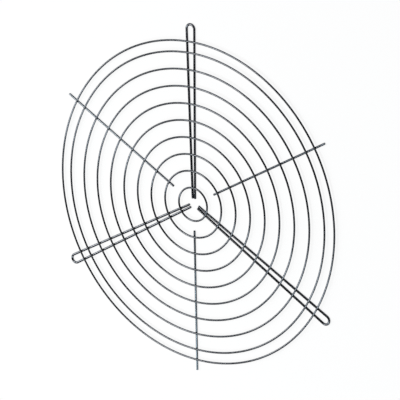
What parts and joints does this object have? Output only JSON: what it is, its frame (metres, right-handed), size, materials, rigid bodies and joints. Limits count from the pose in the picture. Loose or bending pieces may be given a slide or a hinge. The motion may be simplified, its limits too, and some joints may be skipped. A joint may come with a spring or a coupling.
{
  "type": "wire fan guard",
  "caption": "Flat round wire fan guard: concentric wire rings welded over looped mounting arms and straight support ribs.",
  "frame": {"origin": "fan axis at the guard's back plane, where the arms rest against the fan's flange", "axes": "+Z along the fan axis from the back to the ring side, +Y towards the first mounting arm"},
  "size_m": [0.3881, 0.421, 0.0046],
  "materials": {
    "ring_wire": "dark zinc-nickel plated drawn steel wire, semi-bright",
    "arm_wire": "dark zinc-nickel plated drawn steel wire, semi-bright",
    "rib_wire": "dark zinc-nickel plated drawn steel wire, semi-bright"
  },
  "bodies": {
    "root": {"ring_1": "ring_wire", "ring_2": "ring_wire", "ring_3": "ring_wire", "ring_4": "ring_wire", "ring_5": "ring_wire", "ring_6": "ring_wire", "ring_7": "ring_wire", "ring_8": "ring_wire", "ring_9": "ring_wire", "rim_ring": "ring_wire", "mounting_arm_1": "arm_wire", "mounting_arm_2": "arm_wire", "mounting_arm_3": "arm_wire", "support_rib_1": "rib_wire", "support_rib_2": "rib_wire", "support_rib_3": "rib_wire"}
  },
  "joints": []
}
